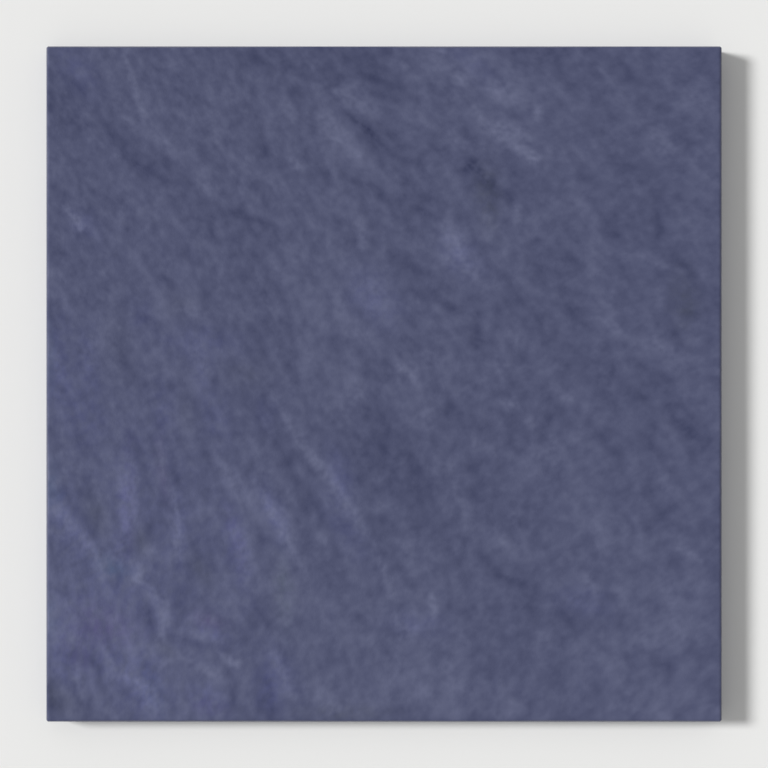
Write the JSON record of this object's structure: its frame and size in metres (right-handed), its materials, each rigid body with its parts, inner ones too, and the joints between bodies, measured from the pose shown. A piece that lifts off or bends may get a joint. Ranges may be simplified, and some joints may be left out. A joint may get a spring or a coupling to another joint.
{
  "type": "ceramic paving tile",
  "caption": "Square outdoor ceramic paving tile with a riven slate face, ground arrises and a keyed back of shallow square pockets.",
  "frame": {"origin": "middle of the bed, on the plane where the back ribs touch the ground", "axes": "+Z out of the worn face, +X and +Y along the sides"},
  "size_m": [0.45, 0.45, 0.02],
  "materials": {
    "blue_grey_ceramic": "matte"
  },
  "bodies": {
    "root": {"tile": "blue_grey_ceramic"}
  },
  "joints": []
}
